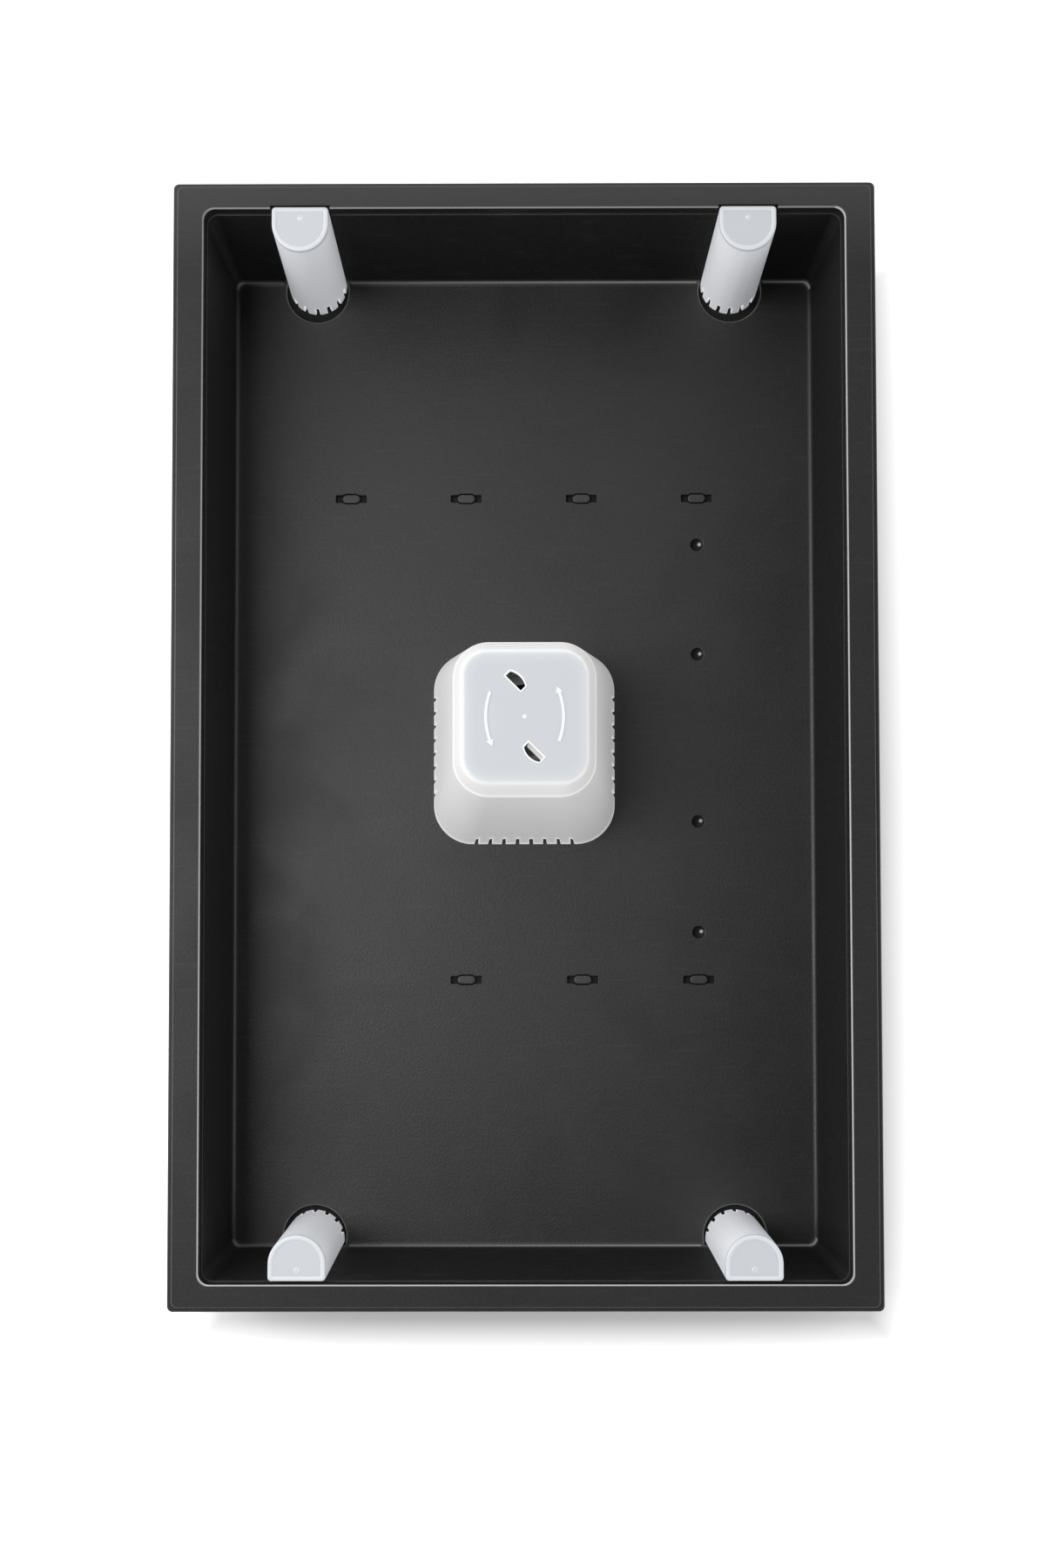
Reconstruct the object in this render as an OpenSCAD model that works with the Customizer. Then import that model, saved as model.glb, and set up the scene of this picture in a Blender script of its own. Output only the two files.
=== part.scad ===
// Hive top feeder. A black moulded syrup tray stands on a hive body, under the hive's lid.
// Bees climb five chimneys in its floor and drink at the notched feet of the milky covers over them.
// Millimetres. The origin is the middle of the plane that the skirt stands on, +Z up, +Y along the tray.

/* [Tray] */
// Length over the skirt
tray_l = 508; // [480:1:560]
// Width over the skirt
tray_w = 318; // [290:1:420]
// Height from the skirt's foot to the rim
tray_h = 72; // [70:1:90]
// Depth of the basin below the rim
basin_depth = 60; // [50:1:62]
// Width of the rim along the long sides
rim_side_w = 14.1; // [12:0.1:20]
// Width of the rim across the ends
rim_end_w = 12.3; // [11:0.1:20]
// Thickness of the rim
rim_t = 3; // [2:0.1:5]
// Wall of the outer skirt
skirt_wall = 2.5; // [1.5:0.1:4]
// Wall of the basin
basin_wall = 2.5; // [1.5:0.1:3.5]
// Thickness of the floor
floor_t = 2.5; // [2:0.1:3.5]
// Lean of the long walls, from the rim's edge to the floor
side_draft = 3.5; // [2:0.1:8]
// Lean of the end walls, from the rim's edge to the floor
end_draft = 5.4; // [3:0.1:8]
// Outer corner radius of the skirt
skirt_corner_r = 2.5; // [1:0.1:8]
// Corner radius of the basin at the rim
basin_corner_r = 5; // [4:0.1:10]
// Corner radius of the basin at the floor
floor_corner_r = 4; // [3.5:0.1:8]
// Radius between the floor and the walls
floor_fillet_r = 3; // [1:0.1:3.2]

/* [Rim detail] */
// Width of the low step round the outside of the rim
step_w = 2; // [1:0.1:4]
// Height of that step
step_h = 1; // [0.5:0.1:1.8]
// Width of the small ledge below the rim's inner edge
ledge_w = 0.9; // [0.5:0.1:1.5]
// Depth of that ledge below the rim
ledge_drop = 4; // [3:0.1:8]
// Bevel on the rim's inner edge
rim_bevel = 0.8; // [0.4:0.1:1.5]

/* [Ribs under the tray] */
// Ribs across the tray
cross_ribs = 7; // [3:2:9]
// Ribs along the tray
long_ribs = 3; // [1:2:3]
// Thickness of a rib
rib_t = 1.6; // [1:0.1:3]
// Drop of a rib below the floor
rib_drop = 4; // [2:0.1:5]

/* [Centre chimney] */
// Distance of the chimney's axis from the middle of the tray, along it
chimney_y = 11; // [-40:1:40]
// Outer radius of the chimney at its top
chimney_r = 22; // [20:0.1:24]
// Draft of the chimney's outside, from its top to its foot
chimney_draft = 0.8; // [0.2:0.1:2]
// Wall of every chimney
chimney_wall = 1.8; // [1.2:0.1:2.2]
// Thickness of the flange that the hooks catch
flange_t = 2; // [1.5:0.1:3]
// Radius of the hole in that flange
throat_r = 16.6; // [15:0.1:17.4]
// Clear height from a chimney to the roof of its cover
bee_space = 9; // [6:0.1:12]

/* [Centre cover] */
// Width of the cover's foot
cover_w = 88; // [82:1:110]
// Length of the cover's foot
cover_l = 94; // [90:1:110]
// Distance of the foot's centre in front of the chimney's axis
foot_set = 5.5; // [0:0.5:8]
// Corner radius of the foot
cover_corner_r = 19; // [12:0.5:24]
// Width at the shoulder
shoulder_w = 65; // [63:0.5:70]
// Length at the shoulder
shoulder_l = 70.5; // [64:0.5:74]
// Corner radius at the shoulder
shoulder_corner_r = 16.5; // [12:0.5:20]
// Drop of the shoulder below the roof
shoulder_drop = 7; // [4:0.5:9]
// Width of the roof panel
panel_w = 57; // [54:0.5:60]
// Length of the roof panel
panel_l = 59.5; // [56:0.5:62]
// Corner radius of the roof panel
panel_corner_r = 11.5; // [8:0.5:14]
// Drop of the roof below the rim
cover_drop = 2; // [1:0.1:6]
// Wall of the cover
cover_wall = 1.8; // [1.2:0.1:2.4]
// Notches along each side of the foot
cover_notches = 8; // [4:1:8]
// Distance between those notches
cover_notch_pitch = 6.7; // [5.5:0.1:6.8]
// Width of every notch
notch_w = 1.9; // [1.2:0.1:2.6]
// Height of every notch
notch_h = 6; // [4:0.1:8]
// Radius of the two half-moon holes in the roof
moon_r = 4.5; // [3:0.1:5.5]
// Distance from the centre of such a hole to its flat side
moon_cut = 1.2; // [0:0.1:2]
// Distance of the flat sides from the axis
moon_reach = 16.3; // [15:0.1:18]

/* [Bayonet] */
// Angle that the cover turns to come free
unlock_turn = 45; // [40:1:60]
// Angle covered by one hook
hook_arc = 34; // [20:1:40]
// Thickness of a hook's stem
hook_t = 2; // [1.5:0.1:2.6]
// Height of a hook's barb
barb_h = 2.5; // [1.5:0.1:4]
// Running gap between the hooks and the chimney
hook_gap = 0.4; // [0.3:0.05:0.6]

/* [Corner covers] */
// Distance of a corner cover's axis from the skirt's long side
corner_side_set = 57.5; // [45:0.5:75]
// Distance of a front cover's axis from the foot of the end wall
corner_end_set = 3.3; // [2.5:0.1:6]
// Distance that the rear covers stand further back, in shallow pockets of the wall
rear_set = 2.5; // [0.5:0.1:3]
// Radius of a corner cover at its foot
corner_foot_r = 14; // [13.5:0.1:15]
// Radius of a corner cover at its roof
corner_roof_r = 12.85; // [12:0.05:13.4]
// Radius of the two back edges
corner_back_r = 1.6; // [1.5:0.1:2]
// Wall of a corner cover
corner_wall = 1.4; // [1:0.1:1.45]
// Drop of a corner cover's roof below the rim
corner_drop = 0.5; // [0.3:0.1:4]
// Gap between a corner cover's flat back and the end wall
corner_wall_gap = 0.6; // [0.4:0.05:1]
// Gap between a rear cover's flat back and its pocket
pocket_gap = 0.3; // [0.25:0.05:0.6]
// Angle between the notches of a corner cover
corner_notch_step = 24; // [20:1:26]
// Gap between a corner chimney and the cover's roof edge
corner_gap = 2; // [1.5:0.1:2.5]
// Gap between a corner chimney and the cover's flat back
corner_back_gap = 0.5; // [0.3:0.05:0.8]

/* [Sumps] */
// Radius of the sump round each corner cover
sump_r = 15.2; // [14.8:0.1:18]
// Depth of the sump below the floor
sump_depth = 3; // [1.5:0.1:3.5]
// Distance of the sump's axis from the cover's, towards the middle of the tray
sump_set = 1.5; // [0:0.1:1.5]

/* [Floor marks] */
// Distance of the marks' centre from the middle of the tray, along it
marks_y = 10.4; // [-20:0.2:20]
// Distance of the slot rows from that centre
slot_row_set = 118; // [90:1:140]
// Distance between neighbouring slots in a row
slot_pitch = 56.5; // [40:0.5:60]
// Length of a slot
slot_l = 15; // [12:0.5:20]
// Width of a slot
slot_w = 3.4; // [2:0.1:4]
// Length of the oval boss in a slot
boss_l = 8.8; // [6:0.1:10]
// Width of that boss
boss_w = 4.4; // [3:0.1:5]
// Width of the groove round that boss
boss_groove = 0.8; // [0.4:0.1:1.2]
// Depth of the slots and dimples
mark_depth = 0.9; // [0.4:0.1:1.2]
// Radius of a dimple
dimple_r = 3.2; // [2:0.1:5]
// Distance of the inner pair of dimples from the marks' centre
dimple_near = 41; // [30:1:60]
// Distance of the outer pair of dimples from the marks' centre
dimple_far = 95; // [70:1:105]

/* [Hidden] */
$fn = 64;
tray_colour = "#1c1c1e";
cover_colour = "#dde2e6";

// Overrun of the cuts, thickness of a section inside a hull and facets of its corners
over = 1;
skin = 0.01;
hull_fn = 32;
fillet_steps = 4;

floor_z = tray_h - basin_depth;
open_w = tray_w - 2 * rim_side_w;
open_l = tray_l - 2 * rim_end_w;
ledge_z = tray_h - ledge_drop;
floor_w = open_w - 2 * side_draft;
floor_l = open_l - 2 * end_draft;

// Lean of the end walls per unit of height
end_lean_share = (end_draft - ledge_w) / (basin_depth - ledge_drop);

roof_z = tray_h - cover_drop;
chimney_top = roof_z - cover_wall - bee_space;
chimney_bore_r = chimney_r - chimney_wall;
hook_turn = 11;
moon_turn = 109;
moon_tilt = 45;
notch_clear_turn = 4;
barb_gap = 2 * hook_gap;

sump_z = floor_z - sump_depth;
passage_z = sump_z - floor_t - rib_drop - over;
sump_setback = corner_wall_gap / 2;
pocket_depth = rear_set + pocket_gap - corner_wall_gap;
corner_x = tray_w / 2 - corner_side_set;
corner_y = floor_l / 2 - corner_end_set;
corner_roof_z = tray_h - corner_drop;
corner_chimney_top = corner_roof_z - corner_wall - bee_space;
corner_chimney_r = corner_roof_r - corner_wall - corner_gap;
corner_notches = 3;

// Distance from a corner cover's axis to its flat back, at height z
function corner_back(z) = corner_end_set - corner_wall_gap + (z - floor_z) * end_lean_share;

corner_chimney_back = corner_back(sump_z) - corner_wall - corner_back_gap;

// Rectangle with round corners, centred on the axis
module rounded_rect(w, l, r) {
    square([w - 2 * r, l], center = true);
    square([w, l - 2 * r], center = true);
    for (x = [-1, 1], y = [-1, 1])
        translate([x * (w / 2 - r), y * (l / 2 - r)])
            circle(r = r);
}

// The same rectangle as four corner posts, for a hull to wrap
module posts(w, l, r, z, h = skin) {
    for (x = [-1, 1], y = [-1, 1])
        translate([x * (w / 2 - r), y * (l / 2 - r), z])
            cylinder(r = r, h = h, $fn = hull_fn);
}

// Everything on the basin's side of an end wall, from the wall's foot upwards and downwards
module end_wall_side(gap) {
    translate([0, floor_l / 2 - gap, floor_z])
        rotate([-atan(end_lean_share), 0, 0])
            translate([-tray_w / 2, -tray_l, -tray_h])
                cube([tray_w, tray_l, 2 * tray_h]);
}

// Puts a shape made at the rear wall into one of the four corners, further back if it is a rear one
module at_corner(side, end, back_set = 0) {
    mirror([0, end < 0 ? 1 : 0, 0])
        translate([side * corner_x, corner_y + (end > 0 ? back_set : 0), 0])
            children();
}

// Round front and flat back, the section of a corner chimney
module round_front(r, back) {
    intersection() {
        circle(r = r);
        translate([-r, -r])
            square([2 * r, r + back]);
    }
}

// Round-topped notch, standing on the plane z = 0 and running outwards along -Y
module notch(from, to) {
    translate([0, -from, 0])
        rotate([90, 0, 0])
            linear_extrude(to - from) {
                translate([-notch_w / 2, -over])
                    square([notch_w, notch_h - notch_w / 2 + over]);
                translate([0, notch_h - notch_w / 2])
                    circle(d = notch_w);
            }
}

// Slot with round ends, centred on the axis
module oval(l, w) {
    square([l - w, w], center = true);
    for (x = [-1, 1])
        translate([x * (l - w) / 2, 0])
            circle(d = w);
}

// Blank of the skirt and rim, hollow underneath
module skirt() {
    difference() {
        union() {
            linear_extrude(tray_h - step_h)
                rounded_rect(tray_w, tray_l, skirt_corner_r);
            linear_extrude(tray_h)
                rounded_rect(tray_w - 2 * step_w, tray_l - 2 * step_w, skirt_corner_r);
        }
        translate([0, 0, -over])
            linear_extrude(tray_h - rim_t + over)
                square([tray_w - 2 * skirt_wall, tray_l - 2 * skirt_wall], center = true);
    }
}

// Outside of the basin, before it is hollowed
module basin_blank() {
    hull() {
        posts(floor_w + 2 * basin_wall, floor_l + 2 * basin_wall, floor_corner_r + basin_wall,
              floor_z - floor_t);
        posts(open_w - 2 * ledge_w + 2 * basin_wall, open_l - 2 * ledge_w + 2 * basin_wall,
              basin_corner_r + basin_wall, ledge_z, tray_h - ledge_z - rim_t / 2);
    }
}

// Leaning walls and the fillet at the floor, with the ledge and bevel at the rim
module basin_hollow() {
    hull() {
        posts(open_w - 2 * ledge_w, open_l - 2 * ledge_w, basin_corner_r - ledge_w, ledge_z, over);
        for (i = [0 : fillet_steps]) {
            turn = 90 * i / fillet_steps;
            inset = floor_fillet_r * (1 - sin(turn));
            posts(floor_w - 2 * inset, floor_l - 2 * inset, floor_corner_r - inset,
                  floor_z + floor_fillet_r * (1 - cos(turn)));
        }
    }
    translate([0, 0, ledge_z])
        linear_extrude(ledge_drop + over)
            rounded_rect(open_w, open_l, basin_corner_r);
    hull() {
        posts(open_w, open_l, basin_corner_r, tray_h - rim_bevel);
        posts(open_w + 4 * rim_bevel, open_l + 4 * rim_bevel, basin_corner_r + 2 * rim_bevel,
              tray_h + rim_bevel);
    }
}

// Ribs that cross under the floor and stiffen the hollow rim
module ribs() {
    rib_z = floor_z - floor_t - rib_drop;
    rib_h = tray_h - rim_t / 2 - rib_z;
    for (i = [1 : cross_ribs])
        translate([-(tray_w - skirt_wall) / 2, tray_l * (i / (cross_ribs + 1) - 1 / 2) - rib_t / 2, rib_z])
            cube([tray_w - skirt_wall, rib_t, rib_h]);
    for (i = [1 : long_ribs])
        translate([tray_w * (i / (long_ribs + 1) - 1 / 2) - rib_t / 2, -(tray_l - skirt_wall) / 2, rib_z])
            cube([rib_t, tray_l - skirt_wall, rib_h]);
}

// Underside of a sump, trimmed to the basin's floor
module sump_blank() {
    intersection() {
        translate([0, -sump_set, sump_z - floor_t])
            cylinder(r = sump_r + basin_wall, h = sump_depth + floor_t);
        translate([-tray_w / 2, -tray_l, sump_z - floor_t])
            cube([tray_w, tray_l + corner_end_set + basin_wall, sump_depth + floor_t]);
    }
}

// Round well of a sump, cut off at the end wall
module sump_hollow() {
    intersection() {
        translate([0, -sump_set, sump_z])
            cylinder(r = sump_r, h = sump_depth + floor_fillet_r + over);
        translate([0, -corner_y, 0])
            end_wall_side(sump_setback);
    }
}

// Shallow pocket of the rear wall behind a cover, grown by the wall to give its blank
module rear_pocket(grow, foot_z, top_z) {
    foot_half = corner_foot_r + corner_wall_gap + grow;
    top_half = corner_roof_r + corner_wall_gap + grow;
    depth = corner_end_set + rear_set + grow + end_draft;
    intersection() {
        translate([0, depth, 0])
            rotate([90, 0, 0])
                linear_extrude(depth)
                    polygon([[-foot_half, foot_z], [foot_half, foot_z], [top_half, top_z], [-top_half, top_z]]);
        translate([0, -corner_y, 0])
            end_wall_side(-pocket_depth - grow);
    }
}

// Slots with their oval bosses and the row of dimples, let into the floor
module floor_marks() {
    for (row = [-1, 1], i = [-3 : 2 : 3])
        if (row > 0 || i > -3)
            translate([i * slot_pitch / 2, marks_y + row * slot_row_set, floor_z - mark_depth])
                linear_extrude(mark_depth + over)
                    difference() {
                        union() {
                            square([slot_l, slot_w], center = true);
                            oval(boss_l + 2 * boss_groove, boss_w + 2 * boss_groove);
                        }
                        oval(boss_l, boss_w);
                    }
    ball_r = (dimple_r * dimple_r + mark_depth * mark_depth) / (2 * mark_depth);
    for (y = [-dimple_far, -dimple_near, dimple_near, dimple_far])
        translate([3 * slot_pitch / 2, marks_y + y, floor_z - mark_depth + ball_r])
            sphere(r = ball_r);
}

// Centre chimney with the inward flange that the hooks catch
module centre_chimney() {
    translate([0, chimney_y, floor_z - floor_t / 2])
        cylinder(r1 = chimney_r + chimney_draft, r2 = chimney_r, h = chimney_top - floor_z + floor_t / 2);
}

// Way up through the centre chimney, with two gaps in its flange
module centre_passage() {
    translate([0, chimney_y, 0]) {
        translate([0, 0, passage_z])
            cylinder(r = chimney_bore_r, h = chimney_top - flange_t - passage_z);
        translate([0, 0, passage_z])
            cylinder(r = throat_r, h = chimney_top + over - passage_z);
        gap_arc = hook_arc + 2 * notch_clear_turn;
        for (half = [0, 180])
            rotate(half + hook_turn + unlock_turn - gap_arc / 2)
                rotate_extrude(angle = gap_arc)
                    translate([throat_r - hook_t, chimney_top - flange_t - over])
                        square([chimney_bore_r - throat_r + hook_t - hook_gap, flange_t + 2 * over]);
    }
}

module corner_chimney() {
    translate([0, 0, sump_z - floor_t / 2])
        linear_extrude(corner_chimney_top - sump_z + floor_t / 2)
            round_front(corner_chimney_r, corner_chimney_back);
}

module corner_passage() {
    translate([0, 0, passage_z])
        linear_extrude(corner_chimney_top + over - passage_z)
            round_front(corner_chimney_r - chimney_wall, corner_chimney_back - chimney_wall);
}

module tray() {
    color(tray_colour)
        difference() {
            union() {
                difference() {
                    union() {
                        skirt();
                        basin_blank();
                        ribs();
                        for (side = [-1, 1], end = [-1, 1])
                            at_corner(side, end)
                                sump_blank();
                        for (side = [-1, 1])
                            at_corner(side, 1)
                                rear_pocket(basin_wall, sump_z - floor_t, tray_h - rim_t / 2);
                    }
                    basin_hollow();
                    floor_marks();
                    for (side = [-1, 1], end = [-1, 1])
                        at_corner(side, end)
                            sump_hollow();
                    for (side = [-1, 1])
                        at_corner(side, 1)
                            rear_pocket(0, sump_z, tray_h + over);
                }
                centre_chimney();
                for (side = [-1, 1], end = [-1, 1])
                    at_corner(side, end, rear_set)
                        corner_chimney();
            }
            centre_passage();
            for (side = [-1, 1], end = [-1, 1])
                at_corner(side, end, rear_set)
                    corner_passage();
        }
}

// Outline of the centre cover, drawn in by a wall
module cover_shape(wall, foot_z) {
    hull() {
        translate([0, -foot_set, 0])
            posts(cover_w - 2 * wall, cover_l - 2 * wall, cover_corner_r - wall, foot_z);
        posts(shoulder_w - 2 * wall, shoulder_l - 2 * wall, shoulder_corner_r - wall,
              roof_z - shoulder_drop - wall / 2);
        posts(panel_w - 2 * wall, panel_l - 2 * wall, panel_corner_r - wall, roof_z - wall - skin);
    }
}

// Hooks that hang from the roof through the chimney's throat
module hooks() {
    stem_r = throat_r - hook_gap;
    barb_top = chimney_top - flange_t - hook_gap;
    for (half = [0, 180])
        rotate(half + hook_turn - hook_arc / 2)
            rotate_extrude(angle = hook_arc) {
                translate([stem_r - hook_t, barb_top - barb_h])
                    square([hook_t, roof_z - cover_wall / 2 - barb_top + barb_h]);
                translate([stem_r - hook_t, barb_top - barb_h])
                    square([chimney_bore_r - barb_gap - stem_r + hook_t, barb_h]);
            }
}

// Half-moon holes through the roof, one each side of the axis
module moons() {
    for (half = [0, 180])
        rotate(half)
            translate([moon_reach * cos(moon_turn), moon_reach * sin(moon_turn), roof_z - cover_wall - over])
                rotate(moon_tilt)
                    linear_extrude(cover_wall + 2 * over)
                        intersection() {
                            translate([moon_cut, 0])
                                circle(r = moon_r);
                            translate([0, -moon_r])
                                square([moon_cut + moon_r, 2 * moon_r]);
                        }
}

// Drinking notches along one side of the foot
module foot_notches(half_l) {
    for (i = [0 : cover_notches - 1])
        translate([(i - (cover_notches - 1) / 2) * cover_notch_pitch, 0, floor_z])
            notch(half_l - 3 * cover_wall, half_l + over);
}

module centre_cover() {
    color(cover_colour)
        translate([0, chimney_y, 0])
            difference() {
                union() {
                    difference() {
                        cover_shape(0, floor_z);
                        cover_shape(cover_wall, floor_z - skin);
                    }
                    hooks();
                }
                moons();
                for (turn = [0, 180])
                    translate([0, -foot_set, 0]) {
                        rotate(turn)
                            foot_notches(cover_l / 2);
                        rotate(turn + 90)
                            foot_notches(cover_w / 2);
                    }
            }
}

// One level of a corner cover: round front, straight sides and a flat back with small round edges
module corner_level(r, back, edge_r, z) {
    translate([0, 0, z])
        linear_extrude(skin, $fn = hull_fn) {
            round_front(r, 0);
            for (side = [-1, 1])
                translate([side * (r - edge_r), back - edge_r])
                    circle(r = edge_r);
        }
}

// Outline of a corner cover, drawn in by a wall, between two heights
module corner_shape(wall, foot_z, top_z) {
    edge_r = corner_back_r - wall;
    hull() {
        corner_level(corner_foot_r - wall, corner_back(foot_z) - wall, edge_r, foot_z);
        corner_level(corner_roof_r - wall, corner_back(top_z) - wall, edge_r, top_z - skin);
    }
}

module corner_cover(side, end) {
    color(cover_colour)
        at_corner(side, end, rear_set)
            difference() {
                corner_shape(0, sump_z, corner_roof_z);
                corner_shape(corner_wall, sump_z - skin, corner_roof_z - corner_wall);
                for (i = [-corner_notches : corner_notches])
                    rotate(i * corner_notch_step)
                        translate([0, 0, sump_z])
                            notch(corner_foot_r - 2 * corner_wall, corner_foot_r + over);
            }
}

module corner_cover_rear_left() {
    corner_cover(-1, 1);
}

module corner_cover_rear_right() {
    corner_cover(1, 1);
}

module corner_cover_front_left() {
    corner_cover(-1, -1);
}

module corner_cover_front_right() {
    corner_cover(1, -1);
}

tray();
centre_cover();
corner_cover_rear_left();
corner_cover_rear_right();
corner_cover_front_left();
corner_cover_front_right();
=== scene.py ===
import math

import bmesh
import bpy
from mathutils import Matrix, Vector


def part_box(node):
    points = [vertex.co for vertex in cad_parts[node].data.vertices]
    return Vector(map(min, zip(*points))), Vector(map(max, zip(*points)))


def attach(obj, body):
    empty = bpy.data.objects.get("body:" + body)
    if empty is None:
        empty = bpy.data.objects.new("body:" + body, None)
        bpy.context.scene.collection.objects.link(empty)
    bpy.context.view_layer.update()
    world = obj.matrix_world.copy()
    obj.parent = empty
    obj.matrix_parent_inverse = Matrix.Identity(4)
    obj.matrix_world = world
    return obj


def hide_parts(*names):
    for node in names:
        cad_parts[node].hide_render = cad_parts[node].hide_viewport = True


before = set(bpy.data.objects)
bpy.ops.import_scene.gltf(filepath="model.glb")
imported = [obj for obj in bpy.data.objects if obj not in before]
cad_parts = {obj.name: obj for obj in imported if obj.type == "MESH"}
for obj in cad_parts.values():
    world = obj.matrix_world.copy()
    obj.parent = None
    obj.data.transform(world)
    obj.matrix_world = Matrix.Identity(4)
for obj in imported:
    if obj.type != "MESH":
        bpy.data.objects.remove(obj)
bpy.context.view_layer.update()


# Tray, plastic
# Carbon-black polypropylene off a lightly etched tool, with slow clouds of the melt's flow and fine
# scuffs from handling. Its edges carry a painted grey highlight, and its rim a painted grey sheen at the
# rear.
# The covers' plastic shares that surface.
def moulded_surface_group():
    """Height of the tool's grain, slow clouds of the melt's flow, and a mask of fine scuffs."""
    tree = bpy.data.node_groups.new("moulded_surface", "ShaderNodeTree")
    for name, value in (("Grain Scale", 900.0), ("Cloud Scale", 9.0), ("Scuff Scale", 55.0)):
        socket = tree.interface.new_socket(name, in_out="INPUT", socket_type="NodeSocketFloat")
        socket.default_value = value
    for name in ("Height", "Cloud", "Scuff"):
        tree.interface.new_socket(name, in_out="OUTPUT", socket_type="NodeSocketFloat")
    nodes, links = tree.nodes, tree.links
    inside = nodes.new("NodeGroupInput")
    outside = nodes.new("NodeGroupOutput")
    place = nodes.new("ShaderNodeTexCoord")
    stretch = nodes.new("ShaderNodeMapping")
    stretch.inputs["Rotation"].default_value = (0.0, 0.0, 0.5)
    stretch.inputs["Scale"].default_value = (1.0, 9.0, 3.0)
    links.new(place.outputs["Object"], stretch.inputs["Vector"])
    keep = nodes.new("ShaderNodeMapRange")
    keep.inputs["From Min"].default_value = 0.58
    keep.inputs["From Max"].default_value = 0.78
    links.new(keep.outputs["Result"], outside.inputs["Scuff"])
    for scale, detail, distortion, source, target in (
            ("Grain Scale", 2.0, 0.0, place.outputs["Object"], outside.inputs["Height"]),
            ("Cloud Scale", 3.0, 0.6, place.outputs["Object"], outside.inputs["Cloud"]),
            ("Scuff Scale", 4.0, 0.0, stretch.outputs["Vector"], keep.inputs["Value"])):
        noise = nodes.new("ShaderNodeTexNoise")
        noise.inputs["Detail"].default_value = detail
        noise.inputs["Distortion"].default_value = distortion
        links.new(source, noise.inputs["Vector"])
        links.new(inside.outputs[scale], noise.inputs["Scale"])
        links.new(noise.outputs["Fac"], target)
    return tree


moulded_surface = moulded_surface_group()


def blend_colour(material, low, high, factor):
    """A colour between a written one or a colour socket and a written one, led by a value socket."""
    tree = material.node_tree
    mix = tree.nodes.new("ShaderNodeMix")
    mix.data_type = "RGBA"
    if isinstance(low, tuple):
        mix.inputs["A"].default_value = (*low, 1.0)
    else:
        tree.links.new(low, mix.inputs["A"])
    mix.inputs["B"].default_value = (*high, 1.0)
    tree.links.new(factor, mix.inputs["Factor"])
    return mix.outputs["Result"]


def map_value(material, value, low, high, from_low=0.3, from_high=0.7):
    """A value socket stretched from a noise's usual range to a range of its own."""
    node = material.node_tree.nodes.new("ShaderNodeMapRange")
    node.inputs["From Min"].default_value = from_low
    node.inputs["From Max"].default_value = from_high
    node.inputs["To Min"].default_value = low
    node.inputs["To Max"].default_value = high
    material.node_tree.links.new(value, node.inputs["Value"])
    return node.outputs["Result"]


def plastic(name, grain_depth):
    """A material with the Principled shader's grain wired in, and the shared surface's sockets."""
    material = bpy.data.materials.new(name)
    material.use_nodes = True
    nodes, links = material.node_tree.nodes, material.node_tree.links
    shader = nodes["Principled BSDF"]
    surface = nodes.new("ShaderNodeGroup")
    surface.node_tree = moulded_surface
    bump = nodes.new("ShaderNodeBump")
    bump.inputs["Distance"].default_value = grain_depth
    bump.inputs["Strength"].default_value = 0.6
    links.new(surface.outputs["Height"], bump.inputs["Height"])
    links.new(bump.outputs["Normal"], shader.inputs["Normal"])
    return material, shader, surface


def edge_light(material):
    """The vertex attribute that says how strong an edge's painted highlight is."""
    attribute = material.node_tree.nodes.new("ShaderNodeAttribute")
    attribute.attribute_name = "edge_light"
    return attribute.outputs["Fac"]


def place_along(material, axis):
    """A place's coordinate along an axis, as a value socket."""
    tree = material.node_tree
    place = tree.nodes.new("ShaderNodeTexCoord")
    split = tree.nodes.new("ShaderNodeSeparateXYZ")
    tree.links.new(place.outputs["Object"], split.inputs["Vector"])
    return split.outputs[axis]


mm = 0.001
black_grain_depth = 0.13 * mm
black_cloud_scale = 24.0
black_valley = (0.004, 0.004, 0.0042)
black_peak = (0.01, 0.01, 0.0104)
scuff_grey = (0.035, 0.035, 0.036)
scuff_share = 0.3
# The painted grey sheen over the rear and where it rises, then the grey of the painted edge highlights.
rear_sheen_grey = (0.06, 0.06, 0.06)
rear_sheen_start = 215 * mm
rear_sheen_end = 250 * mm
edge_highlight_grey = (0.7, 0.7, 0.7)
rough_swing = 0.05


def black(name, specular, rough, rear_sheen=0.0):
    """Black plastic of one gloss, with the clouds and scuffs all of it shares, a painted grey highlight on
    its edges and, where asked, a painted grey sheen towards the rear.
    """
    material, shader, surface = plastic(name, black_grain_depth)
    links = material.node_tree.links
    surface.inputs["Cloud Scale"].default_value = black_cloud_scale
    colour = blend_colour(material, black_valley, black_peak,
                          map_value(material, surface.outputs["Height"], 0.0, 1.0))
    colour = blend_colour(material, colour, scuff_grey,
                          map_value(material, surface.outputs["Scuff"], 0.0, scuff_share, 0.0, 1.0))
    # Painted sheen: the rear of the piece is blended towards grey.
    if rear_sheen:
        along = place_along(material, "Y")
        at_rear = map_value(material, along, 0.0, rear_sheen, rear_sheen_start, rear_sheen_end)
        colour = blend_colour(material, colour, rear_sheen_grey, at_rear)
    # Painted highlight: the edges are blended towards a light grey where the edge_light attribute says.
    colour = blend_colour(material, colour, edge_highlight_grey, edge_light(material))
    links.new(colour, shader.inputs["Base Color"])
    gloss = map_value(material, surface.outputs["Cloud"], rough - rough_swing, rough + rough_swing)
    links.new(gloss, shader.inputs["Roughness"])
    shader.inputs["Specular IOR Level"].default_value = specular
    return material


black_plastic = black("black_plastic", specular=0.8, rough=0.53)
# The rim and skirt take a duller black, with the painted sheen at the rear.
black_rim = black("black_rim", specular=0.52, rough=0.62, rear_sheen=0.45)
# A darker, duller copy of the black, which stands in for shade on the basin's walls, the wells and the
# marks' recesses.
black_shaded = black("black_shaded", specular=0.25, rough=0.66)


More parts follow.
